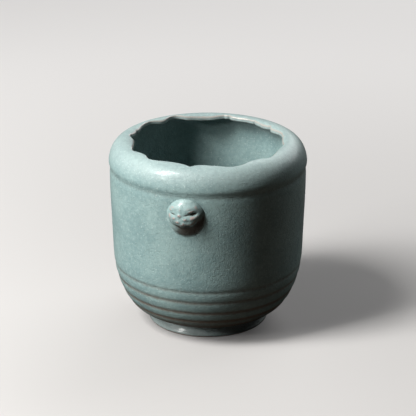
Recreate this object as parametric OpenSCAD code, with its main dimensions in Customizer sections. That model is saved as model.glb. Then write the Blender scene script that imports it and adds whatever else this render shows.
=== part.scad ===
// Brush holder pot: a squat glazed stoneware pot with a rolled, in-turned collar, a wavy cut lip,
// incised lines, a flared foot ring and a pair of lion-mask bosses.
// Millimetres, +Z up. The origin is the centre of the face that the pot stands on,
// and the front boss is on -Y.

/* [Wall] */
// Outer radius of the wall at the line below the collar
wall_r = 58; // [54:0.5:62]
// Height of that line, where the collar is luted on to the wall
seam_z = 95.5; // [90:0.5:98]
// How much the wall narrows from the seam down to where it turns in
taper = 1.7; // [0.5:0.1:3]
// Thickness of the thrown wall
wall_t = 4.5; // [4:0.1:5.5]
// Height at which the wall starts to turn in to the foot
turn_z = 44.5; // [42:0.5:48]

/* [Collar] */
// Overall height, at the crown of the collar
pot_h = 111.5; // [109:0.5:116]
// Radius of the crown, the highest ring of the collar
crown_r = 46.7; // [45.5:0.1:48]
// Thickness of the lip at its cut face
lip_t = 2.6; // [2.2:0.1:3]
// How far the innermost tips of the lip sink below the crown
lip_drop = 3; // [1:0.1:4]

/* [Mouth] */
// Mean radius of the cut mouth
mouth_r = 45.5; // [45:0.1:46]
// How strongly the cut waves in and out, 1 as it was cut
wave = 1; // [0:0.05:1.1]

/* [Incised lines] */
// Radius of the tool that cut the lines
line_r = 0.8; // [0.5:0.1:1]
// Height of the lowest of the four lower lines, which the others follow upwards
line_z = 15.7; // [15:0.1:17]

/* [Foot] */
// Outer radius of the foot where it stands
foot_r = 35.6; // [35:0.1:37]
// Height of the foot ring
foot_h = 7.5; // [7:0.1:8]
// Radius of the bare recess inside the foot ring
recess_r = 30; // [28:0.5:31]
// Height of the floor inside the pot
floor_z = 12; // [11.5:0.1:13]

/* [Lion masks] */
// Diameter of a boss where it meets the wall
boss_d = 22.5; // [20:0.5:24]
// How far a boss stands out from the wall
boss_proud = 5.5; // [4.5:0.5:7]
// Height of the middle of a boss
boss_z = 83.5; // [80:0.5:84]

/* [Hidden] */
$fn = 96;

glaze = [0.50, 0.64, 0.63];
glaze_inside = [0.40, 0.54, 0.52];
biscuit = [0.46, 0.33, 0.25];

// The turn-in is a quarter of an ellipse outside, and a flatter one inside
turn_h = turn_z - 4.5;
turn_w = 23;
inner_turn_h = turn_z - floor_z + 0.5;
inner_turn_w = 17.8;
// Just above the foot the wall tucks in a little more
tuck_z = 14;
tuck_w = 2.2;
// Heights at which both curves are stepped from the foot up to the plain wall
turn_steps = 14;

// The collar laps over a tongue on the wall's top
tongue_h = 2;
tongue_r = wall_r - wall_t + 2;

// The roll is a quarter of a fat ellipse, with this power
roll_power = 2.3;
roll_z = seam_z + 0.8;
roll_steps = 16;
roll_proud = 0.3;
// The innermost radius that the lip could reach before the mouth is cut
lip_min_r = mouth_r - 4.7;
lip_steps = 5;

// The mouth was cut by hand, so it waves unevenly. Each station is a direction in degrees, how far
// the cut lies outside (+) or inside (-) the mean radius, and 1 where it comes to a point.
mouth_stations = [
    [-1, -0.6, 1], [13, -2.1, 0], [29, -0.8, 0], [42, -2.2, 0], [47, -1.6, 1], [53, -1.9, 0],
    [67, -0.9, 0], [80, -1, 0], [90, 0.3, 1], [103, -1.9, 0], [117, -1.4, 0], [129, 2.3, 0],
    [140, -1.1, 0], [152, 1.9, 0], [173, -0.9, 0], [186, 0.7, 1], [194, -2.6, 0], [200, -2.2, 0],
    [219, 1.9, 0], [229, -0.5, 0], [240, 2.9, 0], [258, -0.3, 0], [271, 3.5, 1], [278, 0.5, 0],
    [300, 4, 0], [319, -0.2, 0], [328, 2.4, 0], [352, -1.7, 0]];
// Points from one station to the next
station_steps = 5;

// The four lower lines, not quite evenly spaced
line_heights = [line_z, line_z + 6.5, line_z + 14, line_z + 21];

// The floor disc is stepped, and drops into a rebate in the wall's lower edge
disc_r = recess_r + 4;
disc_step_z = foot_h + 2.5;

// A mask is a raised face, set a little above the middle of a low pad. The nose stands out most.
pad_proud = 2;
face_r = 8.6;
face_up = boss_d / 2 - face_r;
nose_proud = 1.2;
boss_sink = 3;
dome_steps = 10;

// Foot ring
neck_r = foot_r - 2.6;
foot_edge = 0.8;

eps = 0.01;

function taper_r(z) = wall_r - taper * (seam_z - z) / (seam_z - turn_z);
function turn_in(z, h, w) = z >= turn_z ? 0 : w * (1 - sqrt(1 - pow((turn_z - z) / h, 2)));
function foot_tuck(z) = z >= tuck_z ? 0 : tuck_w * pow((tuck_z - z) / (tuck_z - foot_h), 2);
function outer_r(z) = taper_r(z) - turn_in(z, turn_h, turn_w) - foot_tuck(z);
function inner_r(z) = taper_r(z) - wall_t - turn_in(z, inner_turn_h, inner_turn_w);

// A point of a quarter superellipse: 0 degrees is its side, 90 its top
function fat(a, w, h, n) = [w * pow(cos(a), 2 / n), h * pow(sin(a), 2 / n)];

// Height of the lip's top surface inside the crown
function lip_z(r) = pot_h - lip_drop * pow((crown_r - r) / (crown_r - lip_min_r), 1.6);

// Turned solid inside the outer surface of the wall, from the foot up to the seam
module wall_outside() {
    rotate_extrude()
        polygon(concat(
            [[0, foot_h]],
            [for (i = [0:turn_steps])
                let (z = foot_h + (turn_z - foot_h) * i / turn_steps) [outer_r(z), z]],
            [[wall_r, seam_z], [0, seam_z]]));
}

// One incised line, a round-bottomed groove
module incised_line(r, z) {
    rotate_extrude() translate([r, z]) circle(r = line_r, $fn = 24);
}

module body_wall() {
    color(glaze)
    difference() {
        union() {
            wall_outside();
            // tongue that the collar laps over
            translate([0, 0, turn_z]) cylinder(r = tongue_r, h = seam_z + tongue_h - turn_z);
        }
        // thrown inside
        rotate_extrude()
            polygon(concat(
                [[0, floor_z]],
                [for (i = [0:turn_steps])
                    let (z = floor_z + (turn_z - floor_z) * i / turn_steps) [inner_r(z), z]],
                [[wall_r - wall_t, seam_z], [wall_r - wall_t, pot_h], [0, pot_h]]));
        // rebate for the floor disc
        translate([0, 0, disc_step_z]) cylinder(r = disc_r, h = floor_z);
        translate([0, 0, -eps]) cylinder(r = recess_r, h = floor_z);
        // nothing hangs below the wall's lower edge
        translate([0, 0, -eps]) cylinder(r = wall_r, h = foot_h + eps);
        incised_line(wall_r, seam_z);
        for (z = line_heights) incised_line(outer_r(z), z);
    }
}

// Share of the way from one station to the next. A round station is left and reached gently,
// and a pointed one at full slope.
function eased(t, from, to) =
    from[2] == 1 && to[2] == 1 ? t
    : from[2] == 1 ? sin(90 * t)
    : to[2] == 1 ? 1 - cos(90 * t)
    : (1 - cos(180 * t)) / 2;

function cut_point(from, to, turn, t) =
    let (a = from[0] + (to[0] + turn - from[0]) * t,
         r = mouth_r + wave * (from[1] + (to[1] - from[1]) * eased(t, from, to)))
    r * [cos(a), sin(a)];

module mouth_cut() {
    count = len(mouth_stations);
    translate([0, 0, seam_z])
        linear_extrude(pot_h - seam_z + 1)
            polygon([
                for (i = [0:count - 1])
                    for (k = [0:station_steps - 1])
                        cut_point(mouth_stations[i], mouth_stations[(i + 1) % count],
                                  i == count - 1 ? 360 : 0, k / station_steps)]);
}

module rolled_collar() {
    roll_w = wall_r + roll_proud - crown_r;
    under_z = pot_h - lip_t;
    color(glaze)
    difference() {
        rotate_extrude()
            polygon(concat(
                [[wall_r - 0.1, seam_z]],
                [for (i = [0:roll_steps])
                    [crown_r, roll_z] + fat(90 * i / roll_steps, roll_w, pot_h - roll_z, roll_power)],
                [for (i = [1:lip_steps])
                    let (r = crown_r - (crown_r - lip_min_r) * i / lip_steps) [r, lip_z(r)]],
                [for (i = [lip_steps:-1:1])
                    let (r = crown_r - (crown_r - lip_min_r) * i / lip_steps) [r, lip_z(r) - lip_t]],
                [for (i = [roll_steps:-1:0])
                    [crown_r, roll_z + tongue_h]
                        + fat(90 * i / roll_steps, wall_r - wall_t - crown_r,
                              under_z - roll_z - tongue_h, roll_power)],
                [[wall_r - wall_t, seam_z + tongue_h], [tongue_r, seam_z + tongue_h], [tongue_r, seam_z]]));
        mouth_cut();
        incised_line(wall_r, seam_z);
    }
}

module floor_disc() {
    color(glaze_inside)
    union() {
        translate([0, 0, disc_step_z]) cylinder(r = disc_r, h = floor_z - disc_step_z);
        translate([0, 0, foot_h]) cylinder(r = recess_r, h = disc_step_z - foot_h);
    }
}

module foot_ring() {
    color(biscuit)
    rotate_extrude()
        polygon([
            [recess_r + 1.5, 0],
            [foot_r - foot_edge, 0],
            [foot_r, foot_edge],
            [foot_r, 1.8],
            [foot_r - 1.2, 3.2],
            [foot_r - 2, 4.7],
            [neck_r + 0.1, 6.2],
            [neck_r, foot_h],
            [recess_r, foot_h],
            [recess_r, 2]]);
}

// A low round dome on the XY plane, with a stub below it to sink into the wall
module dome(r, h) {
    rotate_extrude()
        polygon(concat(
            [[0, -boss_sink], [r, -boss_sink]],
            [for (i = [0:dome_steps]) fat(90 * i / dome_steps, r, h, roll_power)]));
}

// A lump of the face: a ball whose middle is at (across, up), and whose top stands `proud` out
module lump(across, up, r, proud) {
    translate([across, up, proud - r]) sphere(r = r);
}

// A lion's head on a round pad, facing -Y, with its back shaped to the wall
module lion_mask() {
    color(glaze)
    difference() {
        translate([0, -outer_r(boss_z), boss_z]) rotate([90, 0, 0]) {
            dome(boss_d / 2, pad_proud);
            translate([0, face_up, 0]) {
                dome(face_r, boss_proud - nose_proud);
                lump(0, 2.6, 5, boss_proud - 0.5);       // forehead
                lump(0, -0.6, 1.8, boss_proud);          // nose
                lump(0, -2.4, 3.4, boss_proud - 0.4);    // muzzle
                for (side = [-1, 1]) {
                    lump(side * 4, 1.4, 2.4, boss_proud - 0.6);     // brow
                    lump(side * 6.2, 3.6, 2, boss_proud - 1.9);     // ear
                    lump(side * 4.6, -2.6, 2.6, boss_proud - 0.7);  // cheek
                }
            }
        }
        wall_outside();
    }
}

module front_mask() { lion_mask(); }
module rear_mask() { rotate([0, 0, 180]) lion_mask(); }

body_wall();
rolled_collar();
floor_disc();
foot_ring();
front_mask();
rear_mask();
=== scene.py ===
# %% [markdown]
# # A celadon brush pot
# This lesson finishes a small stoneware pot for standing writing brushes in. The clay pieces are
# already designed and packed: a thrown wall, a rolled collar, a floor disc, a foot ring and two
# lion masks. Here each one gets its real surface, soft where a thumb rounded it and crisp where a
# knife cut it, and then the thing that makes celadon what it is, the glaze.
#
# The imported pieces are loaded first. They stay where they are: every finished piece is a new mesh
# in the same frame, in metres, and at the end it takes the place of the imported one.

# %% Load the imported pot
import math

import bmesh
import bpy
from mathutils import Matrix, Vector


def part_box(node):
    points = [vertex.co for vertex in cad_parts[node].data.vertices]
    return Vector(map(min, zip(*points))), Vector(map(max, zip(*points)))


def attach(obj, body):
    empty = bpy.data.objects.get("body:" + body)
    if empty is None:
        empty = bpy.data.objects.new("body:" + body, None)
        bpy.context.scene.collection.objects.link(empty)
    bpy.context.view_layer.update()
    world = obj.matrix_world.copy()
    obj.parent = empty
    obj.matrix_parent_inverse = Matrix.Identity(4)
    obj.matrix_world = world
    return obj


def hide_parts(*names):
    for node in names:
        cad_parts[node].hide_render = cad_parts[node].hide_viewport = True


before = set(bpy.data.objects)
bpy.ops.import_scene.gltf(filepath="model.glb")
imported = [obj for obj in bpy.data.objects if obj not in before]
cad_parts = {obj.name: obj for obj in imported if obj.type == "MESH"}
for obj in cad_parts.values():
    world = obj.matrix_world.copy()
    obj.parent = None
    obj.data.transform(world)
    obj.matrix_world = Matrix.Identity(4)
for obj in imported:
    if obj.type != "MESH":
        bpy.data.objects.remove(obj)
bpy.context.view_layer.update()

MM = 0.001
print("packed nodes:", sorted(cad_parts))

# %% [markdown]
# ## Sizes
# A potter works from a few sizes: how wide, how high, where the wall turns in. The boxes of the
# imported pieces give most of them, and the rest are written here once, in metres.

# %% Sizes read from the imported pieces
collar_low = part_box("rolled_collar")[0]
foot_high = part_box("foot_ring")[1]
disc_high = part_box("floor_disc")[1]
mask_low, mask_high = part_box("front_mask")

SEAM_Z = collar_low.z              # the line where the collar is luted on
FOOT_H = foot_high.z
FOOT_R = foot_high.x
FLOOR_Z = disc_high.z
DISC_R = disc_high.x
STEP_Z = FOOT_H + 2.5 * MM         # the step of the disc and of the rebate that it drops into
RECESS_R = DISC_R - 4 * MM
MASK_Z = (mask_low.z + mask_high.z) / 2
print(f"seam at {SEAM_Z / MM:.1f} mm, foot {2 * FOOT_R / MM:.1f} mm across, floor at {FLOOR_Z / MM:.1f} mm")

# %% [markdown]
# ## The wall's two curves
# Both faces of the wall follow the same rule: straight with a slight taper down to one height, and
# below it a quarter ellipse that turns in. They are functions of height, because the lines, the
# masks and the floor all have to ask where the wall is.

# %% Sizes of the wall and the collar, and the wall's curves
CROWN_Z = 111.5 * MM               # the highest ring of the collar
CROWN_R = 46.7 * MM
WALL_R = 58 * MM                   # outside, at the seam
WALL_T = 4.5 * MM
TAPER = 1.7 * MM
TURN_Z = 44.5 * MM                 # below this the wall turns in
TURN_END_Z = 4.5 * MM              # where the outer ellipse would end, if the foot didn't cut it off
TURN_OUTER = 23 * MM
TURN_INNER = 17.8 * MM
TUCK_Z = 14 * MM                   # and just above the foot it tucks in a little more
TUCK_IN = 2.2 * MM
LINE_HEIGHTS = [15.7 * MM, 22.2 * MM, 29.7 * MM, 36.7 * MM]


def taper_r(z):
    """Radius of the plain wall, before it turns in."""
    return WALL_R - TAPER * (SEAM_Z - z) / (SEAM_Z - TURN_Z)


def turn_in(z, height, width):
    """How far an elliptical turn-in has taken the wall inwards at height z."""
    if z >= TURN_Z:
        return 0.0
    return width * (1 - math.sqrt(max(0.0, 1 - ((TURN_Z - z) / height) ** 2)))


def outer_r(z):
    tuck = TUCK_IN * (max(0.0, TUCK_Z - z) / (TUCK_Z - FOOT_H)) ** 2
    return taper_r(z) - turn_in(z, TURN_Z - TURN_END_Z, TURN_OUTER) - tuck


def inner_r(z):
    return taper_r(z) - WALL_T - turn_in(z, TURN_Z - FLOOR_Z + 0.5 * MM, TURN_INNER)


print(f"pot {2 * WALL_R / MM:.0f} mm across, {CROWN_Z / MM:.1f} mm high")

# %% [markdown]
# ## Where the camera stands
# A long lens from about a metre away, a little to the right of the front mask and looking down at
# about 21 degrees, so that both the mask and the far inside of the pot show. The camera is made
# first, so that every piece can be judged in the view it is for.

# %% Camera
FILM_MM = 36
LENS_MM = 155.77
CAMERA_ROUND = math.radians(12.7)  # round from the front, towards +X
CAMERA_BACK = 0.997
CAMERA_UP = 0.450
CAMERA_PITCH = 0.366               # radians below level

camera_data = bpy.data.cameras.new("camera")
camera = bpy.data.objects.new("camera", camera_data)
bpy.context.scene.collection.objects.link(camera)
camera_data.sensor_width = FILM_MM
camera_data.lens = LENS_MM
camera.location = (CAMERA_BACK * math.sin(CAMERA_ROUND), -CAMERA_BACK * math.cos(CAMERA_ROUND), CAMERA_UP)
camera.rotation_euler = (math.pi / 2 - CAMERA_PITCH, 0, CAMERA_ROUND)
bpy.context.scene.camera = camera
print(f"lens {camera_data.lens:.0f} mm, {camera.location.length:.2f} m from the pot")

# %% [markdown]
# ## Sums inside a node tree
# Node trees do arithmetic with Math nodes, which makes a long formula hard to read. This small
# class wraps a socket so that ordinary +, -, * and / build the Math nodes. It works in geometry
# trees and in shader trees alike.

# %% A socket that sums can be written with


def plug(tree, target, value):
    """Links a Field to a socket, or sets the socket to a plain value."""
    if isinstance(value, Field):
        tree.links.new(value.socket, target)
    else:
        target.default_value = value


def math_node(tree, operation, *values):
    node = tree.nodes.new("ShaderNodeMath")
    node.operation = operation
    for socket, value in zip(node.inputs, values):
        plug(tree, socket, value)
    return Field(tree, node.outputs[0])


class Field:
    def __init__(self, tree, socket):
        self.tree = tree
        self.socket = socket

    def __add__(self, other):
        return math_node(self.tree, "ADD", self, other)

    def __radd__(self, other):
        return math_node(self.tree, "ADD", other, self)

    def __sub__(self, other):
        return math_node(self.tree, "SUBTRACT", self, other)

    def __rsub__(self, other):
        return math_node(self.tree, "SUBTRACT", other, self)

    def __mul__(self, other):
        return math_node(self.tree, "MULTIPLY", self, other)

    def __rmul__(self, other):
        return math_node(self.tree, "MULTIPLY", other, self)

    def __truediv__(self, other):
        return math_node(self.tree, "DIVIDE", self, other)

    def __pow__(self, other):
        return math_node(self.tree, "POWER", self, other)

    def op(self, operation, *others):
        return math_node(self.tree, operation, self, *others)


def place(tree, kind, inputs=None, **settings):
    """Adds a node, sets its options, and plugs its inputs, which are named or numbered."""
    node = tree.nodes.new(kind)
    for name, value in settings.items():
        setattr(node, name, value)
    for name, value in (inputs or {}).items():
        plug(tree, node.inputs[name], value)
    return node


def out(tree, node, name=0):
    return Field(tree, node.outputs[name])


print("a Field can be added, taken away, multiplied, divided and raised to a power")

# %% [markdown]
# ## The wheel, as a node tree
# Wall, collar, floor and foot are all turned: each is one half-section swept round the axis. That
# is a rule, so Geometry Nodes can make it. The tree takes a half-section, which is a closed line of
# points with x as the radius, and lays a flat grid of dots over it: one way of the grid runs round
# the pot, the other along the section. Each dot looks up its own point of the section and swings
# it round to its place. A little noise moves it in or out, because no wall is thrown perfectly
# true. A Screw modifier would also turn a section, but it can't carry the noise or the marks that
# tell the glaze where it runs thin.

# %% Helpers that both Geometry Nodes trees use


def new_tree(name):
    tree = bpy.data.node_groups.new(name, "GeometryNodeTree")
    tree.is_modifier = True
    return tree


def tree_input(tree, name, kind, value=None):
    socket = tree.interface.new_socket(name, in_out="INPUT", socket_type=kind)
    if value is not None:
        socket.default_value = value
    return socket


def looked_up(tree, source, kind, attribute, index):
    """The value that point number `index` of `source` holds under an attribute's name."""
    if attribute == "position":
        held = place(tree, "GeometryNodeInputPosition")
    else:
        held = place(tree, "GeometryNodeInputNamedAttribute", {"Name": attribute}, data_type=kind)
    sample = place(tree, "GeometryNodeSampleIndex", {"Geometry": source, "Index": index},
                   data_type=kind, domain="POINT")
    tree.links.new(held.outputs[0], sample.inputs["Value"])
    return out(tree, sample)


def kept(tree, geometry, name, value):
    """Stores a value on every point under a name."""
    node = place(tree, "GeometryNodeStoreNamedAttribute", {"Geometry": geometry, "Name": name},
                 data_type="FLOAT", domain="POINT")
    plug(tree, node.inputs["Value"], value)
    return out(tree, node)


def finished_tree(tree, geometry, given):
    """The end of a tree: real geometry, with the material on it."""
    real = place(tree, "GeometryNodeRealizeInstances", {"Geometry": geometry})
    finished = place(tree, "GeometryNodeSetMaterial",
                     {"Geometry": out(tree, real), "Material": out(tree, given, "Finish")})
    sink = place(tree, "NodeGroupOutput")
    tree.links.new(finished.outputs[0], sink.inputs[0])


print("helpers ready, trees so far:", len(bpy.data.node_groups))

# %% [markdown]
# The first half of the tree lays the grid and swings it round. A grid's dots are numbered in rows,
# so one division gives a dot's place round the pot, and what is left over gives its place along the
# section.

# %% First half of the wheel: lay a grid and swing it round


def swung_round(tree, given):
    """The grid bent into the turned shape, and each dot's step round and place along the section."""
    section = out(tree, given, "Section")
    points = out(tree, given, "Section points")
    steps = out(tree, given, "Steps round")
    grid = place(tree, "GeometryNodeMeshGrid", {"Vertices X": steps + 1, "Vertices Y": points + 1})
    number = out(tree, place(tree, "GeometryNodeInputIndex"))
    across = (number / (points + 1) + 0.0001).op("FLOOR")
    along = number - across * (points + 1)
    along = along.op("MODULO", points)

    drawn = looked_up(tree, section, "FLOAT_VECTOR", "position", along)
    swing = place(tree, "ShaderNodeVectorRotate",
                  {"Vector": drawn, "Angle": across / steps * math.tau}, rotation_type="Z_AXIS")
    swung = out(tree, swing)
    uneven = place(tree, "ShaderNodeTexNoise",
                   {"Vector": swung, "Scale": out(tree, given, "Wobbles per metre"), "Detail": 1.0})
    level = place(tree, "ShaderNodeVectorMath", {0: swung, 1: (1, 1, 0)}, operation="MULTIPLY")
    outwards = place(tree, "ShaderNodeVectorMath", {0: out(tree, level)}, operation="NORMALIZE")
    push = (out(tree, uneven, "Fac") - 0.5) * out(tree, given, "Wobble")
    pushed = place(tree, "ShaderNodeVectorMath", {0: out(tree, outwards), "Scale": push}, operation="SCALE")
    placed = place(tree, "GeometryNodeSetPosition",
                   {"Geometry": out(tree, grid), "Position": swung, "Offset": out(tree, pushed)})
    return out(tree, placed), across, along


print("dot 25 of a grid 11 wide lies in row", 25 // 11, "at place", 25 % 11)

# %% [markdown]
# The second half copies the section's marks on to the dots, welds the seam where the grid meets
# itself, and shades the skin smooth but keeps the cut edges crisp.

# %% Second half of the wheel: marks, weld and shading
MARKS = ("thin", "reach", "under")
WELD = 0.001 * MM                  # dots closer than this are one
CRISP_ANGLE = math.radians(55)     # an edge sharper than this stays sharp


def build_wheel(tree):
    tree_input(tree, "Section", "NodeSocketGeometry")
    tree_input(tree, "Section points", "NodeSocketInt", 10)
    tree_input(tree, "Steps round", "NodeSocketInt", 240)
    tree_input(tree, "Wobble", "NodeSocketFloat", 0.0)
    tree_input(tree, "Wobbles per metre", "NodeSocketFloat", 12.0)
    tree_input(tree, "Finish", "NodeSocketMaterial")
    tree.interface.new_socket("Turned piece", in_out="OUTPUT", socket_type="NodeSocketGeometry")
    given = place(tree, "NodeGroupInput")
    result, across, along = swung_round(tree, given)
    for mark in MARKS:
        held = looked_up(tree, out(tree, given, "Section"), "FLOAT", mark, along)
        result = kept(tree, result, mark, held)
    result = kept(tree, result, "ring", across.op("MODULO", out(tree, given, "Steps round")))
    welded = place(tree, "GeometryNodeMergeByDistance", {"Geometry": result, "Distance": WELD})
    smooth = place(tree, "GeometryNodeSetShadeSmooth", {"Geometry": out(tree, welded)})
    bend = out(tree, place(tree, "GeometryNodeInputMeshEdgeAngle"))
    crisp = place(tree, "GeometryNodeSetShadeSmooth",
                  {"Geometry": out(tree, smooth), "Selection": bend.op("GREATER_THAN", CRISP_ANGLE),
                   "Shade Smooth": False}, domain="EDGE")
    finished_tree(tree, out(tree, crisp), given)


WHEEL = new_tree("turn_on_the_wheel")
build_wheel(WHEEL)
print("wheel tree has", len(WHEEL.nodes), "nodes")

# %% [markdown]
# ## Drawing a half-section
# A section is a list of points: radius, height, and up to three marks. "thin" says how the glaze
# lies: above 0 it has run thin off an edge and lets the brown clay show, and below 0 the colour is
# darkened, partly for glaze lying thick and dull in a pressed line and partly as painted shade.
# "reach" says how far a point follows the cut mouth, and "under" is 1 on the underside of the lip.
# The sections go counter-clockwise, so that the turned surface faces out.

# %% From a list of points to a section


def section_mesh(name, points):
    mesh = bpy.data.meshes.new(name)
    count = len(points)
    mesh.from_pydata([(p[0], 0, p[1]) for p in points], [(i, (i + 1) % count) for i in range(count)], [])
    for column, mark in enumerate(MARKS, 2):
        layer = mesh.attributes.new(mark, "FLOAT", "POINT")
        layer.data.foreach_set("value", [p[column] if len(p) > column else 0.0 for p in points])
    return mesh


def set_inputs(modifier, **values):
    """Sets a Geometry Nodes modifier's inputs by the identifiers of their sockets."""
    sockets = {s.name: s.identifier for s in modifier.node_group.interface.items_tree
               if s.item_type == "SOCKET" and s.in_out == "INPUT"}
    for name, value in values.items():
        modifier[sockets[name.replace("_", " ")]] = value


print("marks on a section:", ", ".join(MARKS))

# %% [markdown]
# What the modifiers make is then taken as a plain mesh, and measured: a skin with a hole in it has
# open edges, and one that faces the wrong way has a volume below 0.

# %% From a section to a turned piece
WOBBLE = 0.5 * MM                  # how far from true the pot was thrown
WOBBLES_PER_METRE = 14.0


def plain_mesh(maker, name):
    """Turns what an object's modifiers make into a plain mesh on a new object at the origin."""
    bpy.context.view_layer.update()
    graph = bpy.context.evaluated_depsgraph_get()
    mesh = bpy.data.meshes.new_from_object(maker.evaluated_get(graph))
    mesh.name = name
    piece = bpy.data.objects.new(name, mesh)
    bpy.context.scene.collection.objects.link(piece)
    maker.modifiers.clear()
    bpy.data.objects.remove(maker)
    return piece


def volume_of(piece):
    """Volume that the piece's skin shuts in, and how many edges are open."""
    work = bmesh.new()
    work.from_mesh(piece.data)
    loose = sum(1 for e in work.edges if len(e.link_faces) != 2)
    volume = work.calc_volume(signed=True)
    work.free()
    return volume, loose


def turned(name, points, finish, steps=240, wobble=0.0, per_metre=WOBBLES_PER_METRE, extra=None):
    """One turned piece: its section on the wheel, and then any further tree."""
    maker = bpy.data.objects.new(name + "_section", section_mesh(name + "_section", points))
    bpy.context.scene.collection.objects.link(maker)
    wheel = maker.modifiers.new("wheel", "NODES")
    wheel.node_group = WHEEL
    set_inputs(wheel, Section_points=len(points), Steps_round=steps, Wobble=wobble,
               Wobbles_per_metre=per_metre, Finish=finish)
    if extra:
        extra(maker)
    piece = plain_mesh(maker, name)
    volume, loose = volume_of(piece)
    print(f"{name}: {len(piece.data.polygons)} faces, {volume * 1e6:.1f} cm3, {loose} open edges")
    return piece


print(f"thrown within {WOBBLE / 2 / MM:.2f} mm of true")

# %% [markdown]
# Three little rules draw every section: numbers spread evenly between two ends, a smooth dip for
# whatever is pressed in, and an easy rise from one height to another.

# %% Spread, dip and rise


def spread(low, high, count):
    return [low + (high - low) * i / (count - 1) for i in range(count)]


def dip(z, centre, half_width):
    """A smooth dip: 1 at its centre, fading to 0 over about two half widths."""
    return math.exp(-((z - centre) / half_width) ** 2)


def eased_between(low, high, value):
    """0 below low, 1 above high, and an easy rise between them."""
    t = max(0.0, min(1.0, (value - low) / (high - low)))
    return t * t * (3 - 2 * t)


print("a dip one half width from its middle is", round(dip(1, 0, 1), 2), "of its depth")

# %% [markdown]
# ## Shaders: the glaze
# Celadon is a thick, slightly cloudy glass with a little iron in it. Three things give it away.
# It pools in hollows, where it is deeper and bluer. It runs thin on edges, where the iron in the
# clay turns it brown. And it is never quite even: fine pale specks, small pits and a net of
# hair-thin crackle. One node group works out the colour, the roughness and the relief of all that,
# and each material places the group with its own tints.
#
# Four helpers come first: a socket for the group, a mix of two colours, a noise and a gentle ramp.

# %% Helpers for shaders


def group_socket(group, name, in_out, kind, value=None):
    socket = group.interface.new_socket(name, in_out=in_out, socket_type=kind)
    if value is not None:
        socket.default_value = value


def colour_mix(tree, share, first, second, blend="MIX"):
    node = tree.nodes.new("ShaderNodeMix")
    node.data_type = "RGBA"
    node.blend_type = blend
    plug(tree, node.inputs[0], share)
    plug(tree, node.inputs[6], first)
    plug(tree, node.inputs[7], second)
    return Field(tree, node.outputs[2])


def noise(tree, vector, scale, detail=2.0, roughness=0.5):
    node = place(tree, "ShaderNodeTexNoise", {"Vector": vector, "Scale": scale, "Detail": detail,
                                              "Roughness": roughness})
    return out(tree, node, "Fac")


def ramp(tree, value, low, high, low_to=0.0, high_to=1.0):
    """Stretches a value from low..high to low_to..high_to, gently and without overshoot."""
    node = place(tree, "ShaderNodeMapRange", {"Value": value, "From Min": low, "From Max": high,
                                              "To Min": low_to, "To Max": high_to},
                 interpolation_type="SMOOTHSTEP")
    return out(tree, node)


GLAZE = bpy.data.node_groups.new("celadon_glaze", "ShaderNodeTree")
print("empty group:", GLAZE.name)

# %% [markdown]
# The group's inputs are what differs from piece to piece: the tints, how speckled and how glossy.
# Its outputs are only a colour, a roughness and a height, which the export can read.

# %% The glaze group's sockets


def glaze_sockets(group):
    colour, value, vector = "NodeSocketColor", "NodeSocketFloat", "NodeSocketVector"
    group_socket(group, "Place", "INPUT", vector)
    group_socket(group, "Thin", "INPUT", value, 0.0)
    group_socket(group, "Pale", "INPUT", colour, (0.42, 0.56, 0.54, 1))
    group_socket(group, "Deep", "INPUT", colour, (0.26, 0.40, 0.39, 1))
    group_socket(group, "Break", "INPUT", colour, (0.30, 0.16, 0.11, 1))
    group_socket(group, "Hollow", "INPUT", colour, (0.16, 0.145, 0.125, 1))
    group_socket(group, "Speckle", "INPUT", value, 1.0)
    group_socket(group, "Gloss", "INPUT", value, 0.0)
    group_socket(group, "Colour", "OUTPUT", colour)
    group_socket(group, "Roughness", "OUTPUT", value)
    group_socket(group, "Height", "OUTPUT", value)


glaze_sockets(GLAZE)
print("glaze group has", len(GLAZE.interface.items_tree), "sockets")

# %% [markdown]
# Inside it, noise does most of the work. A noise's scale is how many blotches fit in a metre, so
# 38 gives clouds as wide as a thumb and 1000 gives specks of a millimetre. The crackle is the edges
# of a Voronoi pattern, bent by more noise so that no crack runs straight.

# %% Clouds, specks and crackle
CLOUDS = 38.0                      # all of these are per metre
MOTTLES = 420.0
PALE_SPECKS = 1000.0
DARK_SPECKS = 900.0
BENDS = 300.0
CRACKLE_CELLS = 260.0


def clouds_and_specks(group, given, where):
    speckle = out(group, given, "Speckle")
    cloud = noise(group, where, CLOUDS, 4.0, 0.6)
    mottle = noise(group, where, MOTTLES, 3.0, 0.6)
    depth = ramp(group, cloud * 0.6 + mottle * 0.4, 0.28, 0.72)
    base = colour_mix(group, depth, out(group, given, "Pale"), out(group, given, "Deep"))

    # fine pale specks where bubbles and quartz lie near the surface
    fine = noise(group, where, PALE_SPECKS, 2.0, 0.7)
    specks = ramp(group, fine, 0.58, 0.74) * speckle
    base = colour_mix(group, specks * 0.62, base, (0.62, 0.76, 0.74, 1))
    dark_specks = ramp(group, noise(group, where, DARK_SPECKS, 2.0, 0.7), 0.60, 0.76) * speckle
    base = colour_mix(group, dark_specks * 0.52, base, (0.16, 0.25, 0.24, 1))
    return base, cloud, mottle, fine, specks


def crackle_net(group, where):
    """1 on a crack, in cells of a few millimetres that are never straight-sided."""
    bent = place(group, "ShaderNodeTexNoise", {"Vector": where, "Scale": BENDS, "Detail": 1.0})
    shift = place(group, "ShaderNodeVectorMath", {0: out(group, bent, "Color"), "Scale": 1.6 * MM},
                  operation="SCALE")
    moved = place(group, "ShaderNodeVectorMath", {0: where, 1: out(group, shift)}, operation="ADD")
    cells = place(group, "ShaderNodeTexVoronoi", {"Vector": out(group, moved), "Scale": CRACKLE_CELLS},
                  feature="DISTANCE_TO_EDGE")
    return ramp(group, out(group, cells, "Distance"), 0.0, 0.045, 1.0, 0.0)


print(f"clouds {1000 / CLOUDS:.0f} mm wide, crackle cells about {1000 / CRACKLE_CELLS:.0f} mm")

# %% [markdown]
# Over those layers come the two marks from the sections. Where "thin" is above 0 the clay's own
# colour breaks through in an uneven line, and where it is below 0 the glaze is thick and dull and
# the colour is darkened, which is partly painted shade.

# %% The glaze itself


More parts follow.
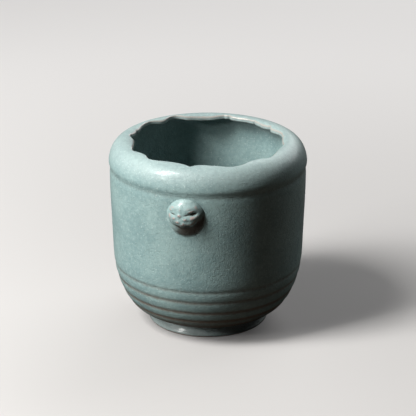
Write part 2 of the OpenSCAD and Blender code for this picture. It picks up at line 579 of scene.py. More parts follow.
def build_glaze(group):
    given = place(group, "NodeGroupInput")
    where = out(group, given, "Place")
    thin = out(group, given, "Thin")
    base, cloud, mottle, fine, specks = clouds_and_specks(group, given, where)
    crackle = crackle_net(group, where)
    base = colour_mix(group, crackle * 0.22, base, (0.20, 0.27, 0.25, 1))

    # where it runs thin the iron in the clay breaks through, in an uneven line
    ragged = thin + (noise(group, where, 700.0, 3.0, 0.7) - 0.5) * 0.5
    broken = ramp(group, ragged, 0.30, 0.78) * ramp(group, thin, 0.02, 0.2)
    base = colour_mix(group, broken, base, out(group, given, "Break"))

    # where the mark is below 0 the Hollow colour is painted in: partly glaze lying thick and dull, partly
    # painted shade in the pressed lines, just above the foot, in the masks' hollows and under their jaws
    hollow = ramp(group, -1.0 * thin + (mottle - 0.5) * 0.4, 0.05, 1.0)
    base = colour_mix(group, hollow, base, out(group, given, "Hollow"))

    gloss = out(group, given, "Gloss")
    rough = 0.42 + mottle * 0.12 + specks * 0.18 + broken * 0.16 + hollow * 0.25 - gloss
    rough = rough.op("MAXIMUM", 0.08)
    height = mottle * 0.6 + fine * 1.0 + cloud * 0.6 - crackle * 0.25 - broken * 0.2

    sink = place(group, "NodeGroupOutput")
    for name, made in (("Colour", base), ("Roughness", rough), ("Height", height)):
        group.links.new(made.socket, sink.inputs[name])


build_glaze(GLAZE)
print("glaze group has", len(GLAZE.nodes), "nodes")

# %% [markdown]
# ## Materials
# The wall, collar and floor share one glaze. The foot has more gloss, because the glaze gathered
# there, and the masks show more brown on their ridges. The bare clay under the pot is dry and
# rough. The group only works out masks and colours: the Principled shader, with its constant
# values, sits in each material. A thin clear coat on top of it gives the glassy highlight.

# %% Bare clay, and a material that uses the group
GRIT = 2200.0                      # grains per metre
CLAY_ROUGHNESS = 0.85
BOUNCE = 0.3                       # how much of its colour the glaze gives to light that has bounced
POLISH = 0.75                      # how much more coat a cut edge has than the rest
GLAZE_RELIEF = 0.2 * MM            # how far the glaze's own unevenness rises and falls


def bare_clay(tree, where, height, line, colour, rough):
    """Colour and roughness with bare clay below a slightly uneven line."""
    edge = height + (noise(tree, where, 180.0, 3.0) - 0.5) * (0.6 * MM)
    bare = ramp(tree, edge, line, line + 0.3 * MM, 1.0, 0.0)
    grit = noise(tree, where, GRIT, 3.0, 0.7)
    clay = colour_mix(tree, grit, (0.20, 0.11, 0.07, 1), (0.34, 0.21, 0.14, 1))
    return colour_mix(tree, bare, colour, clay), rough + bare * (CLAY_ROUGHNESS - rough)


def glaze_material(name, pale, deep, broken, hollow=(0.20, 0.165, 0.135, 1), speckle=1.0, gloss=0.0,
                   coat=0.25, coat_rough=0.16, bare_below=None, painted_sheen=None):
    material = bpy.data.materials.new(name)
    material.use_nodes = True
    tree = material.node_tree
    tree.nodes.clear()
    where = out(tree, place(tree, "ShaderNodeTexCoord"), "Object")
    thin = out(tree, place(tree, "ShaderNodeAttribute", attribute_name="thin"), "Fac")
    glaze = place(tree, "ShaderNodeGroup", node_tree=GLAZE)
    for socket, value in (("Place", where), ("Thin", thin), ("Pale", pale), ("Deep", deep),
                          ("Break", broken), ("Hollow", hollow), ("Speckle", speckle), ("Gloss", gloss)):
        plug(tree, glaze.inputs[socket], value)
    colour = out(tree, glaze, "Colour")
    rough = out(tree, glaze, "Roughness")
    height = out(tree, place(tree, "ShaderNodeSeparateXYZ", {0: where}), "Z")
    if painted_sheen is not None:
        # painted sheen: the glaze is painted paler as it climbs over the roll, where it faces up into the
        # light
        over = ramp(tree, height, SEAM_Z + 2 * MM, CROWN_Z - 3 * MM, 0.0, painted_sheen)
        colour = colour_mix(tree, over, colour, (0.72, 0.76, 0.75, 1))
    if bare_below is not None:
        colour, rough = bare_clay(tree, where, height, bare_below, colour, rough)
    # light that has already bounced once meets a darker glaze, which keeps the inside dim
    path = place(tree, "ShaderNodeLightPath")
    colour = colour_mix(tree, out(tree, path, "Is Diffuse Ray"), colour,
                        colour_mix(tree, 1.0, colour, (BOUNCE, BOUNCE, BOUNCE, 1), "MULTIPLY"))
    bump = place(tree, "ShaderNodeBump", {"Strength": 1.0, "Distance": GLAZE_RELIEF,
                                          "Height": out(tree, glaze, "Height")})
    # a cut edge is fire-polished, so it shines more than the rest
    shine = ramp(tree, thin, 0.15, 0.5, coat, min(1.0, coat + POLISH))
    skin = place(tree, "ShaderNodeBsdfPrincipled", {"Base Color": colour, "Roughness": rough,
                                                    "Normal": out(tree, bump), "IOR": 1.5,
                                                    "Coat Weight": shine, "Coat Roughness": coat_rough})
    sink = place(tree, "ShaderNodeOutputMaterial")
    tree.links.new(skin.outputs[0], sink.inputs[0])
    return material


print(f"grains of the clay are about {1000 / GRIT:.1f} mm")

# %% [markdown]
# Each finish is now one line: a pale and a deep tint, the colour that breaks through, and what sets
# it apart. The roll is painted paler than the wall towards its crown, a painted sheen where it faces up.

# %% Make the finishes
CELADON = dict(pale=(0.375, 0.535, 0.525, 1), deep=(0.225, 0.355, 0.365, 1), broken=(0.44, 0.38, 0.33, 1))
wall_glaze = glaze_material("celadon", **CELADON)
roll_glaze = glaze_material("celadon_roll", **CELADON, painted_sheen=0.20)
inside_glaze = glaze_material("celadon_inside", **CELADON, bare_below=FOOT_H + 0.5 * MM)
foot_glaze = glaze_material("foot_glaze", pale=(0.45, 0.53, 0.525, 1), deep=(0.30, 0.39, 0.39, 1),
                            broken=(0.24, 0.17, 0.13, 1), speckle=0.6, gloss=0.14, coat=1.0,
                            coat_rough=0.16, bare_below=0.5 * MM)
# the masks' near-black Hollow colour is painted shade, in their hollows and on the pad under the jaw
mask_glaze = glaze_material("mask_glaze", pale=(0.44, 0.59, 0.585, 1), deep=(0.24, 0.38, 0.375, 1),
                            broken=(0.47, 0.40, 0.375, 1), hollow=(0.06, 0.055, 0.045, 1), speckle=0.8,
                            coat=0.8, coat_rough=0.25)
print("finishes:", ", ".join(m.name for m in (wall_glaze, roll_glaze, inside_glaze, foot_glaze, mask_glaze)))

# %% [markdown]
# ## The thrown wall
# The wall is a near-cylinder that narrows a little downwards and then turns in to the foot. Four
# lines were pressed round it with a blunt tool while the wheel turned, so each is a soft groove and
# the bands between them swell a little. The wall's inside follows the outside at the thickness of
# the clay, and its top stands up inside the collar as a tongue.

# %% The wall's half-section
LINE_DEPTH = 0.24 * MM
LINE_HALF = 1.15 * MM
LINE_DARKNESS = (0.9, 0.8, 0.65, 0.45)    # painted shade as well as pooled brown glaze: the lower a line is, the darker it is painted
BAND_SWELL = 0.10 * MM
BAND_HALF = 2.2 * MM
TUCK = 0.62 * MM                   # how far wall and roll tuck in where they meet
NECKED = 0.25 * MM                 # the share of it that starts well below the seam
SEAM_THICK = 0.25                  # how thick the glaze lies in the seam
FOOT_PAINTED_SHADE = 0.9                   # painted shade on the wall just above the foot
TONGUE_H = 2 * MM
TONGUE_R = WALL_R - WALL_T + 2 * MM


def wall_section():
    points = []
    for z in spread(FOOT_H, SEAM_Z, 230):
        line = sum(dip(z, h, LINE_HALF) for h in LINE_HEIGHTS)
        between = sum(dip(z, (h + k) / 2, BAND_HALF) for h, k in zip(LINE_HEIGHTS, LINE_HEIGHTS[1:]))
        under_roll = dip(z, SEAM_Z, 2.4 * MM)
        r = outer_r(z) - LINE_DEPTH * line + BAND_SWELL * between
        r -= NECKED * eased_between(78 * MM, 94 * MM, z) + (TUCK - NECKED) * under_roll
        # the pressed lines: pooled brown glaze, with painted shade that is darker the lower the line
        thick = sum(dark * dip(z, h, 1.4 * LINE_HALF) for h, dark in zip(LINE_HEIGHTS, LINE_DARKNESS))
        # painted shade on the wall just above the foot, where it turns under the belly
        thick += FOOT_PAINTED_SHADE * eased_between(-16 * MM, -9.5 * MM, -z)
        points.append((r, z, -min(1.0, thick) - SEAM_THICK * under_roll))
    points.append((TONGUE_R, SEAM_Z))
    points.append((TONGUE_R, SEAM_Z + TONGUE_H))
    points.append((WALL_R - WALL_T, SEAM_Z + TONGUE_H))
    for z in spread(SEAM_Z, FLOOR_Z, 80):
        points.append((inner_r(z), z))
    points.append((DISC_R, FLOOR_Z))
    points.append((DISC_R, STEP_Z))
    points.append((RECESS_R, STEP_Z))
    points.append((RECESS_R, FOOT_H))
    return points


print(f"wall section: {len(wall_section())} points, {(outer_r(TURN_Z) - inner_r(TURN_Z)) / MM:.1f} mm thick")

# %% Turn the wall
wall = turned("wall", wall_section(), wall_glaze, wobble=WOBBLE)

# %% [markdown]
# ## The foot
# The foot ring was trimmed on the wheel after the pot had stiffened. From under the wall it sweeps
# out to a low upright edge, rounded below so that it doesn't chip, and the face it stands on was
# wiped clean of glaze so that it wouldn't stick to the kiln shelf. The sweep is hollow, and that is
# what catches one small bright glint.

# %% Turn the foot
FLARE = 2.0 * MM
FLARE_CURVE = 2.0
EDGE_TOP = 1.8 * MM                # the upright edge of the foot, below its sweep
EDGE_ROUND = 0.7 * MM
SHOULDER_ROUND = 0.4 * MM


def arc(centre_r, centre_z, radius, start, end, count, thin=0.0):
    """Points of a round edge. Angles are in degrees, 0 pointing outwards and 90 up."""
    turns = [math.radians(a) for a in spread(start, end, count)]
    return [(centre_r + radius * math.cos(a), centre_z + radius * math.sin(a), thin) for a in turns]


def foot_section():
    points = [(RECESS_R + 1.5 * MM, 0, 0)]
    points += arc(FOOT_R - EDGE_ROUND, EDGE_ROUND, EDGE_ROUND, -90, 0, 8, 0.25)
    points += arc(FOOT_R - SHOULDER_ROUND, EDGE_TOP - SHOULDER_ROUND, SHOULDER_ROUND, 0, 50, 5)
    for t in spread(0.06, 1, 24):
        z = EDGE_TOP + (FOOT_H - EDGE_TOP) * t
        points.append((FOOT_R - 0.2 * MM - FLARE * (1 - (1 - t) ** FLARE_CURVE), z, 0.0))
    points.append((RECESS_R, FOOT_H, 0))
    points.append((RECESS_R, 2 * MM, 0))
    return points


foot = turned("foot", foot_section(), foot_glaze, wobble=WOBBLE / 2, per_metre=12.0)

# %% [markdown]
# ## The floor
# The floor disc drops into a rebate in the wall. Seen from above it still has the shallow rings
# that a thumb leaves on the wheel, and the glaze has pooled in them.

# %% Turn the floor
PIN_HOLE = 0.02 * MM               # the section stops just short of the axis
RIPPLE = 0.18 * MM
RIPPLE_EVERY = 3.1 * MM
FLOOR_DISH = 0.7 * MM              # how far the middle lies below the rim of the floor


def floor_section():
    points = [(PIN_HOLE, FOOT_H, 0), (RECESS_R, FOOT_H, 0), (RECESS_R, STEP_Z, 0),
              (DISC_R, STEP_Z, 0), (DISC_R, FLOOR_Z, 0)]
    for r in spread(DISC_R, PIN_HOLE, 60)[1:]:
        ripple = RIPPLE * math.sin(r / RIPPLE_EVERY) * min(1.0, (DISC_R - r) / (6 * MM))
        hollow = FLOOR_DISH * (1 - (r / DISC_R) ** 2)
        points.append((r, FLOOR_Z - hollow + ripple, 0))
    return points


floor_piece = turned("floor", floor_section(), inside_glaze, steps=120)

# %% [markdown]
# ## The cut mouth
# The lip was cut with a knife while the clay was soft: round scallops with a point between some of
# them, no two alike. Such a line is drawn, not worked out, so it is kept as a short list of
# stations: a direction in degrees, how far in millimetres the cut lies outside or inside the mean
# radius, and whether it comes to a point there. Between stations the line eases from one to the
# next.

# %% The mouth's stations
MOUTH_R = 45.5 * MM                # mean radius of the cut
MOUTH_STATIONS = [
    (-1, -0.6, 1), (13, -2.1, 0), (29, -0.8, 0), (42, -2.2, 0), (47, -1.6, 1), (53, -1.9, 0),
    (67, -0.9, 0), (80, -1, 0), (90, 0.3, 1), (103, -1.9, 0), (117, -1.4, 0), (129, 2.3, 0),
    (140, -1.1, 0), (152, 1.9, 0), (173, -0.9, 0), (186, 0.7, 1), (194, -2.6, 0), (200, -2.2, 0),
    (219, 1.9, 0), (229, -0.5, 0), (240, 2.9, 0), (258, -0.3, 0), (271, 3.5, 1), (278, 0.5, 0),
    (300, 4, 0), (319, -0.2, 0), (328, 2.4, 0), (352, -1.7, 0)]
# nicks that the knife left: direction in degrees, depth in mm, and half width in degrees
NICKS = [(86, 0.9, 1.3), (64, 0.6, 1.1), (46, 0.9, 1.4), (20, 1.0, 1.2), (172, 0.8, 1.2), (183, 0.6, 1.1)]


def eased(t, from_point, to_point):
    if from_point and to_point:
        return t
    if from_point:
        return math.sin(math.pi / 2 * t)
    if to_point:
        return 1 - math.cos(math.pi / 2 * t)
    return (1 - math.cos(math.pi * t)) / 2


def mouth_radius(angle):
    """Radius of the cut in a direction, in degrees."""
    stations = MOUTH_STATIONS + [(MOUTH_STATIONS[0][0] + 360,) + MOUTH_STATIONS[0][1:]]
    angle = (angle - stations[0][0]) % 360 + stations[0][0]
    for here, there in zip(stations, stations[1:]):
        if here[0] <= angle <= there[0]:
            t = (angle - here[0]) / (there[0] - here[0])
            return MOUTH_R + (here[1] + (there[1] - here[1]) * eased(t, here[2], there[2])) * MM
    return MOUTH_R


print(f"{len(MOUTH_STATIONS)} stations and {len(NICKS)} nicks, {mouth_radius(0) / MM:.1f} mm at 0 degrees")

# %% [markdown]
# The collar's tree needs the line as geometry, so it becomes a ring of points, one for each step of
# the wheel, and the tree reads them off by number.

# %% Draw the mouth line
MOUTH_STEPS = 480
SHAKE = 0.14 * MM                  # a knife in soft clay never runs quite smoothly


def mouth_line():
    """The mouth as a ring of points, one for each step of the wheel."""
    mesh = bpy.data.meshes.new("mouth_line")
    points = []
    for i in range(MOUTH_STEPS):
        a = i / MOUTH_STEPS * math.tau
        degrees = math.degrees(a)
        r = mouth_radius(degrees) + SHAKE * math.sin(23 * a + 1.3) * math.sin(9 * a)
        r += sum(depth * MM * dip(degrees, where, half) for where, depth, half in NICKS)
        points.append((r * math.cos(a), r * math.sin(a), 0))
    mesh.from_pydata(points, [(i, (i + 1) % MOUTH_STEPS) for i in range(MOUTH_STEPS)], [])
    line = bpy.data.objects.new("mouth_line", mesh)
    bpy.context.scene.collection.objects.link(line)
    return line


mouth = mouth_line()
radii = [v.co.length for v in mouth.data.vertices]
print(f"mouth radius {min(radii) / MM:.1f} to {max(radii) / MM:.1f} mm")

# %% [markdown]
# ## The rolled collar
# The collar is turned like the rest, with its lip at the mean radius. A second tree then pulls the
# lip in or out to the mouth line: every point knows from the wheel which step round it is on, and
# from the section how far it follows the lip. As the lip reaches further in it also sinks, because
# it carries on along the curve of the roll.

# %% The roll's shape, as a formula that the section and the tree both use
LIP_T = 2.6 * MM
LIP_DROP = 3 * MM                  # how far the deepest lip lies below the crown
LIP_MIN_R = MOUTH_R - 4.7 * MM
ROLL_POWER = 2.3                   # 2 would be a plain ellipse, and more is fuller
LIP_CURVE = 1.6
ROLL_Z = SEAM_Z + 0.8 * MM
ROLL_PROUD = 0.3 * MM
PIN_OUT = 53.5 * MM                # outside this the roll doesn't follow the mouth
PIN_IN = 52.0 * MM
# centre height and width of the outer and inner curves of the roll, and the height of their tops
OUTER_CURVE = (ROLL_Z, WALL_R + ROLL_PROUD - CROWN_R, CROWN_Z)
INNER_CURVE = (ROLL_Z + TONGUE_H, WALL_R - WALL_T - CROWN_R, CROWN_Z - LIP_T)


def height_at(r, curve, larger=max):
    """Height of the roll's skin at a radius: falling gently inside the crown, steeply outside it."""
    centre, width, top = curve
    inside = larger(CROWN_R - r, 0.0) / (CROWN_R - LIP_MIN_R)
    outside = larger(r - CROWN_R, 0.0) / width
    fall = 1 - (1 - outside ** ROLL_POWER) ** (1 / ROLL_POWER)
    return top - inside ** LIP_CURVE * LIP_DROP - fall * (top - centre)


lip_drawn = height_at(MOUTH_R, OUTER_CURVE) - height_at(MOUTH_R, INNER_CURVE)
print(f"the roll is {lip_drawn / MM:.1f} mm thick at the lip")

# %% [markdown]
# Because the height is a formula of sums only, the same function serves the tree: given Fields
# instead of numbers it builds Math nodes. The one difference is how the larger of two is taken.

# %% A tree that pulls the lip to the mouth line


def field_max(a, b):
    return a.op("MAXIMUM", b)


def build_lip_tree(tree):
    tree_input(tree, "Collar", "NodeSocketGeometry")
    tree_input(tree, "Mouth line", "NodeSocketObject")
    tree_input(tree, "Mean radius", "NodeSocketFloat")
    tree_input(tree, "Finish", "NodeSocketMaterial")
    tree.interface.new_socket("Collar", in_out="OUTPUT", socket_type="NodeSocketGeometry")
    given = place(tree, "NodeGroupInput")
    line = place(tree, "GeometryNodeObjectInfo", {"Object": out(tree, given, "Mouth line")})

    def mark(name):
        return out(tree, place(tree, "GeometryNodeInputNamedAttribute", {"Name": name}, data_type="FLOAT"))

    cut = looked_up(tree, out(tree, line, "Geometry"), "FLOAT_VECTOR", "position", mark("ring") + 0.1)
    cut_r = out(tree, place(tree, "ShaderNodeVectorMath", {0: cut}, operation="LENGTH"), "Value")
    here = out(tree, place(tree, "GeometryNodeInputPosition"))
    split = place(tree, "ShaderNodeSeparateXYZ", {0: here})
    x, y, z = (out(tree, split, axis) for axis in "XYZ")
    radius = (x * x + y * y).op("SQRT")
    moved = radius + (cut_r - out(tree, given, "Mean radius")) * mark("reach")

    over = height_at(moved, OUTER_CURVE, field_max) - height_at(radius, OUTER_CURVE, field_max)
    below = height_at(moved, INNER_CURVE, field_max) - height_at(radius, INNER_CURVE, field_max)
    change = (over + (below - over) * mark("under")) * mark("reach").op("GREATER_THAN", 0.0)
    new_place = place(tree, "ShaderNodeCombineXYZ",
                      {"X": x / radius * moved, "Y": y / radius * moved, "Z": z + change})
    placed = place(tree, "GeometryNodeSetPosition",
                   {"Geometry": out(tree, given, "Collar"), "Position": out(tree, new_place)})
    finished_tree(tree, out(tree, placed), given)


LIP_TREE = new_tree("pull_the_lip")
build_lip_tree(LIP_TREE)
print("lip tree has", len(LIP_TREE.nodes), "nodes")

# %% [markdown]
# The collar's own section goes up over the roll, round the cut edge of the lip, and back down the
# inside to the tongue. A fat quarter ellipse is used instead of a true one, because a thumb presses
# such a roll fuller than a circle.

# %% The collar's half-section
LIP_EDGE = 0.75 * MM               # the knife's edge, rounded by a wet finger
LIP_THIN = 0.62


def fat(angle, width, height):
    """A point of a quarter superellipse. 0 degrees is its side and 90 its top."""
    c, s = math.cos(math.radians(angle)), math.sin(math.radians(angle))
    return width * max(c, 0.0) ** (2 / ROLL_POWER), height * max(s, 0.0) ** (2 / ROLL_POWER)


def reach_of(r, pin):
    """Share by which a point follows the mouth: 0 at the pin, 1 at the lip."""
    return max(0.0, min(1.0, (pin - r) / (pin - MOUTH_R - LIP_EDGE)))


def lip_edge(start, end, centre_z, thin, under):
    """A rounded edge of the lip, between two directions in degrees."""
    edge = arc(MOUTH_R + LIP_EDGE, centre_z, LIP_EDGE, start, end, 8, thin)[1:]
    return [point + (1, under) for point in edge]


def collar_section():
    points = [(WALL_R - TUCK, SEAM_Z, -SEAM_THICK),
              (WALL_R + 0.3 * ROLL_PROUD - 0.93 * TUCK, SEAM_Z + 0.4 * MM, -SEAM_THICK)]
    centre, width, top = OUTER_CURVE
    for a in spread(0, 90, 44):
        r, z = fat(a, width, top - centre)
        z += centre
        r += CROWN_R - (TUCK + ROLL_PROUD) * dip(z, SEAM_Z, 2.2 * MM)
        points.append((r, z, -SEAM_THICK * dip(z, SEAM_Z, 1.6 * MM), reach_of(r, PIN_OUT)))
    for r in spread(CROWN_R, MOUTH_R + LIP_EDGE, 4)[1:]:
        points.append((r, height_at(r, OUTER_CURVE), 0.0, reach_of(r, PIN_OUT)))
    high = height_at(MOUTH_R, OUTER_CURVE) - LIP_EDGE
    low = height_at(MOUTH_R, INNER_CURVE) + LIP_EDGE
    points += lip_edge(90, 180, high, LIP_THIN, 0)
    for z in spread(high, low, 4)[1:]:
        points.append((MOUTH_R, z, 0.6 * LIP_THIN, 1, (high - z) / (high - low)))
    points += lip_edge(180, 270, low, 0.8 * LIP_THIN, 1)
    centre, width, top = INNER_CURVE
    for a in spread(88, 0, 34):
        r, z = fat(a, width, top - centre)
        points.append((CROWN_R + r, centre + z, 0, reach_of(CROWN_R + r, PIN_IN), 1))
    points.append((WALL_R - WALL_T, SEAM_Z + TONGUE_H))
    points.append((TONGUE_R, SEAM_Z + TONGUE_H))
    points.append((TONGUE_R, SEAM_Z))
    return points


print("collar section:", len(collar_section()), "points")

# %% Turn the collar and pull its lip


def pull_lip(maker):
    lip = maker.modifiers.new("lip", "NODES")
    lip.node_group = LIP_TREE
    set_inputs(lip, Mouth_line=mouth, Mean_radius=MOUTH_R, Finish=roll_glaze)


collar = turned("collar", collar_section(), roll_glaze, steps=MOUTH_STEPS, wobble=WOBBLE, extra=pull_lip)
bpy.data.objects.remove(mouth)

# %% [markdown]
# ## The lion masks
# Each mask was pressed in a small mould and luted to the wall: a round pad with a heavy forehead,
# slanting eyes, a short nose, full cheeks and a jaw. It is modelled as a relief. A round patch of
# clay is laid out in rings, domed, and then pushed up or down by soft lumps, each an ellipse with
# a height and a turn. Adding lumps is how such a mould is carved, and it keeps the surface one
# closed skin. The face sits a little high and to one side of its pad, as a hand-pressed one does.
#
# The lumps are measured in millimetres from the nose, because that is how a carver would say it.

# %% The lumps of the face
PAD_R = 11.4 * MM
PAD_PROUD = 3.0 * MM
FACE_PROUD = 2.6 * MM
FACE_AT = (-0.2, 4.4)              # the middle of the raised face on its pad, in mm
FACE_HALF = (10.4, 8.8)            # its half width and half height
NOSE_AT = (-2.2, 3.8)              # the face looks a little to one side
LUMPS = [
    # across, up, half width, half height, rise, all in mm from the nose, turn in degrees, and how
    # strongly it shows on the other side too, where a lump on the middle line says 0
    (0.0, 5.2, 4.2, 2.6, 0.5, 0, 0),       # forehead
    (4.8, 2.9, 3.0, 1.5, 0.6, 14, 0.8),    # brow
    (8.8, 4.2, 1.6, 1.8, 0.4, 0, 0),       # ear
    (7.2, 0.0, 1.9, 1.0, -1.4, 9, 0.12),   # corner of the eye
    (4.0, -0.6, 1.7, 0.5, -0.35, 8, 1),    # slit of the eye
    (5.8, 1.5, 1.6, 0.5, 0.3, 14, 1),      # eyelid
    (0.0, 2.2, 0.9, 1.8, 0.3, 0, 0),       # bridge of the nose
    (0.0, -0.9, 1.2, 0.9, 0.6, 0, 0),      # nose
    (3.1, -2.9, 1.3, 1.0, 0.5, 0, 1),      # muzzle
    (6.6, -2.4, 1.7, 1.3, 0.5, 10, 0.9),   # cheek
    (-1.0, -4.8, 1.2, 0.9, 0.5, 0, 0),     # teeth
    (2.2, -5.4, 1.0, 0.8, 0.35, 0, 0),     # teeth
    (-2.6, -7.0, 2.2, 0.7, 0.4, -8, 0),    # jaw
    (3.5, -6.6, 3.4, 0.7, 0.25, 8, 0),     # jaw
]


def lump(across, up, centre_across, centre_up, width, height, turn):
    c, s = math.cos(math.radians(turn)), math.sin(math.radians(turn))
    dx, dy = across - centre_across, up - centre_up
    return math.exp(-((dx * c + dy * s) / width) ** 2 - ((dy * c - dx * s) / height) ** 2)


def relief(across, up):
    """Height of the lumps at a point of the pad, in mm."""
    across, up = across - NOSE_AT[0], up - NOSE_AT[1]
    total = 0.0
    for cx, cy, w, h, rise, turn, other_side in LUMPS:
        total += rise * lump(across, up, cx, cy, w, h, turn)
        total += rise * other_side * lump(across, up, -cx, cy, w, h, -turn)
    return total


print(f"{len(LUMPS)} lumps, halfway up the nose they stand {relief(*NOSE_AT):.1f} mm above the face")

# %% [markdown]
# The whole height at a place is three layers: the pad, the raised face on it, and the lumps. A
# place that stands above its neighbours is a ridge, where the glaze runs thin and brown. A hollow
# gets painted shade, and so does the pad below and to the right of the jaw, away from the light.

# %% The height of a mask, and its ridges
RIDGE_STEP = 0.7 * MM              # how far away the neighbours are
RIDGE_SHOWS = 6.0                  # how strongly a ridge or a hollow shows
PAD_CURVE = 0.8                    # 0.5 would be half an ellipse, and more is flatter at the rim
PAD_LEAN = 0.02                    # the pad is fuller below its middle than above, by this per mm
FACE_CURVE = 0.6
FACE_EDGE = (0.74, 1.16)           # the face falls away between these shares of its half width
JAW_SHADE_SPAN = 7.0                     # the painted shade by the jaw fades in over this many mm each side of the middle


def face_share(across, up):
    """1 on the raised face, 0 outside it, for a place on the pad in mm."""
    beyond = math.hypot((across - FACE_AT[0]) / FACE_HALF[0], (up - FACE_AT[1]) / FACE_HALF[1])
    return 1 - eased_between(*FACE_EDGE, beyond + 0.03 * math.sin(1.1 * across))


def mask_height(across, up):
    """Height of the mask above the wall, in metres: a low pad, the raised face, and its lumps."""
    across, up = across / MM, up / MM
    share = max(0.0, 1 - (across ** 2 + up ** 2) / (PAD_R / MM) ** 2)
    face = face_share(across, up)
    dome = PAD_PROUD * share ** (PAD_CURVE + PAD_LEAN * up) + FACE_PROUD * face * share ** FACE_CURVE
    return dome + relief(across, up) * MM * face * eased_between(0, 0.4, share)


def ridge_at(across, up):
    """How much a point stands out from what is round it: above 0 on a ridge, below 0 in a hollow."""
    neighbours = ((RIDGE_STEP, 0), (-RIDGE_STEP, 0), (0, RIDGE_STEP), (0, -RIDGE_STEP))
    around = sum(mask_height(across + dx, up + dy) for dx, dy in neighbours) / 4
    ridge = (mask_height(across, up) - around) / MM * RIDGE_SHOWS
    across, up = across / MM, up / MM
    # painted shade on the pad below and to the right of the jaw, the side turned from the light
    painted_jaw_shade = (1 - face_share(across, up)) * eased_between(-JAW_SHADE_SPAN, JAW_SHADE_SPAN, across - 0.9 * up)
    return max(-1.0, min(1.0, ridge - painted_jaw_shade))


print(f"the mask stands {mask_height(0, 0) / MM:.1f} mm off the wall in the middle of its pad")

# %% [markdown]
# The patch is rings of points laid on the wall's curve and lifted by the height. Its rim sinks a
# little into the wall, as luted clay does, and a shallow dish of triangles closes it behind. The
# mark on each point is stored as an attribute, which the glaze reads as it does on the turned
# pieces.

# %% The mesh of a mask
SUNK = 0.25 * MM                   # how far the rim of the patch lies in the wall
DISH_BACK = 0.6 * MM


def on_wall(across, up, proud):
    """A place on the front of the wall, some way across and up from the middle of the mask."""
    radius = outer_r(MASK_Z + up) + proud
    angle = across / outer_r(MASK_Z)
    return (radius * math.sin(angle), -radius * math.cos(angle), MASK_Z + up)


def mask_mesh(name, rings=60, spokes=180):
    """A domed relief on the wall's surface, facing -Y, closed behind by a shallow dish."""
    verts, faces, thin = [], [], []
    for ring in range(rings):
        rho = PAD_R * (1 - ring / rings)
        for spoke in range(spokes):
            turn = spoke / spokes * math.tau
            across, up = rho * math.cos(turn), rho * math.sin(turn)
            verts.append(on_wall(across, up, mask_height(across, up) - SUNK))
            thin.append(ridge_at(across, up) * eased_between(0, 0.1, ring / rings))
    verts.append(on_wall(0, 0, mask_height(0, 0) - SUNK))
    verts.append(on_wall(0, 0, -DISH_BACK))
    thin += [0, 0]
    top = len(verts) - 2
    for ring in range(rings):
        for spoke in range(spokes):
            a = ring * spokes + spoke
            b = ring * spokes + (spoke + 1) % spokes
            faces.append((a, b, top) if ring == rings - 1 else (a, b, b + spokes, a + spokes))
            if ring == 0:
                faces.append((b, a, top + 1))
    mesh = bpy.data.meshes.new(name)
    mesh.from_pydata(verts, [], faces)
    mesh.polygons.foreach_set("use_smooth", [True] * len(mesh.polygons))
    layer = mesh.attributes.new("thin", "FLOAT", "POINT")
    layer.data.foreach_set("value", thin)
    return mesh


# %% [markdown]
# The second mask is the same mesh, turned half round the axis. The turn goes into the mesh and not
# on to the object, so that both objects sit at the origin.

# %% Press both masks


def make_mask(name, half_turn):
    mesh = mask_mesh(name)
    if half_turn:
        mesh.transform(Matrix.Rotation(math.pi, 4, "Z"))
    mesh.materials.append(mask_glaze)
    piece = bpy.data.objects.new(name, mesh)
    bpy.context.scene.collection.objects.link(piece)
    volume, loose = volume_of(piece)
    print(f"{name}: {len(mesh.polygons)} faces, {volume * 1e6:.2f} cm3, {loose} open edges")
    return piece


front_mask = make_mask("front_lion", False)
rear_mask = make_mask("rear_lion", True)

# %% [markdown]
# ## What the pot stands on
# The pot stands on a plain pale sheet. A sheet this pale would throw a lot of light up under the
# pot, and the shade that shows its roundness would be lost. So the material asks, with a Light Path
# node, who is looking: the camera sees a pale sheet, and every other ray meets a dark one.

# %% The sheet under the pot
SHEET_HALF = 3.0                   # half its width


def pale_floor():
    mesh = bpy.data.meshes.new("floor_sheet")
    corners = [(-SHEET_HALF, -SHEET_HALF, 0), (SHEET_HALF, -SHEET_HALF, 0),
               (SHEET_HALF, SHEET_HALF, 0), (-SHEET_HALF, SHEET_HALF, 0)]
    mesh.from_pydata(corners, [], [(0, 1, 2, 3)])
    sheet = bpy.data.objects.new("floor_sheet", mesh)
    bpy.context.scene.collection.objects.link(sheet)
    material = bpy.data.materials.new("pale_floor")
    material.use_nodes = True
    tree = material.node_tree
    tree.nodes.clear()
    diffuse = place(tree, "ShaderNodeBsdfDiffuse", {"Color": (0.60, 0.59, 0.585, 1)})
    # away from the pot the sheet lifts to an even pale ground, as a lit backdrop would
    where = out(tree, place(tree, "ShaderNodeTexCoord"), "Object")
    away = out(tree, place(tree, "ShaderNodeVectorMath", {0: where}, operation="LENGTH"), "Value")
    glow = place(tree, "ShaderNodeEmission", {"Color": (1, 0.99, 0.985, 1),
                                              "Strength": ramp(tree, away, 0.06, 0.6, 0.04, 0.26)})
    seen = place(tree, "ShaderNodeAddShader")
    tree.links.new(diffuse.outputs[0], seen.inputs[0])
    tree.links.new(glow.outputs[0], seen.inputs[1])
    passed_on = place(tree, "ShaderNodeBsdfDiffuse", {"Color": (0.055, 0.045, 0.038, 1)})
    path = place(tree, "ShaderNodeLightPath")
    either = place(tree, "ShaderNodeMixShader", {0: out(tree, path, "Is Camera Ray")})
    tree.links.new(passed_on.outputs[0], either.inputs[1])
    tree.links.new(seen.outputs[0], either.inputs[2])
    sink = place(tree, "ShaderNodeOutputMaterial")
    tree.links.new(either.outputs[0], sink.inputs[0])
    mesh.materials.append(material)


pale_floor()
print("the sheet is", 2 * SHEET_HALF, "m wide")

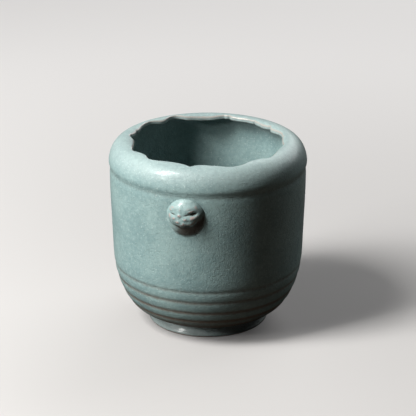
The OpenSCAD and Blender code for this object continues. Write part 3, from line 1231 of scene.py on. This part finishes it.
# %% [markdown]
# ## The light
# One soft window, up to the left and a little in front, does nearly all the work: it models the
# roundness from bright to dark, and its reflection runs along the roll. Three weaker lights help.
# A low fill keeps the left of the wall as bright as its middle, and is left out of reflections. A
# small lamp puts the glint on the foot and the forehead of the mask. A wide light behind whitens
# the far rim, as a pale backdrop would. The room itself is left dim, so that the far side falls
# into shade.

# %% The lights
AIM = Vector((0, 0, 0.06))         # the middle of the pot
WARM = (1.0, 0.985, 0.96)
ROOM = 0.008                       # strength of the light from all round


def soft_light(name, round_deg, up_deg, distance, size, power, colour, mirrored=True):
    """An area light, placed by its direction from the pot as the camera sees it."""
    data = bpy.data.lights.new(name, "AREA")
    data.shape = "RECTANGLE"
    data.size, data.size_y = size
    data.energy = power
    data.color = colour
    light = bpy.data.objects.new(name, data)
    bpy.context.scene.collection.objects.link(light)
    a = CAMERA_ROUND + math.radians(round_deg)
    up = math.radians(up_deg)
    direction = Vector((math.sin(a) * math.cos(up), -math.cos(a) * math.cos(up), math.sin(up)))
    light.location = AIM + direction * distance
    light.rotation_euler = direction.to_track_quat("Z", "Y").to_euler()
    light.visible_camera = False
    light.visible_glossy = mirrored
    return light


soft_light("window", -64, 48, 1.1, (0.30, 0.55), 15.3, WARM)
soft_light("low_fill", -74, 14, 1.1, (0.4, 0.35), 3.8, WARM, mirrored=False)
soft_light("glint", -54, 25, 1.1, (0.15, 0.15), 1.5, (1.0, 0.99, 0.97))
soft_light("backdrop", 145, 32, 1.6, (1.6, 0.9), 11.0, (1.0, 1.0, 1.0))

world = bpy.data.worlds.new("room")
bpy.context.scene.world = world
world.use_nodes = True
world.node_tree.nodes["Background"].inputs["Color"].default_value = (0.9, 0.95, 1.0, 1)
world.node_tree.nodes["Background"].inputs["Strength"].default_value = ROOM
bpy.context.scene.view_settings.view_transform = "Standard"
print("lights:", ", ".join(light.name for light in bpy.data.lights))

# %% [markdown]
# ## Hand the pieces over
# Each finished piece rides on the pot's one body and stands for its imported piece.

# %% Attach every piece
for piece, node, slot in (
        (wall, "body_wall", "celadon_glaze"),
        (collar, "rolled_collar", "celadon_glaze"),
        (floor_piece, "floor_disc", "celadon_glaze"),
        (foot, "foot_ring", "foot_glaze"),
        (front_mask, "front_mask", "mask_glaze"),
        (rear_mask, "rear_mask", "mask_glaze")):
    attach(piece, "root")
    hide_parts(node)
    print(piece.name, "takes the place of", node)
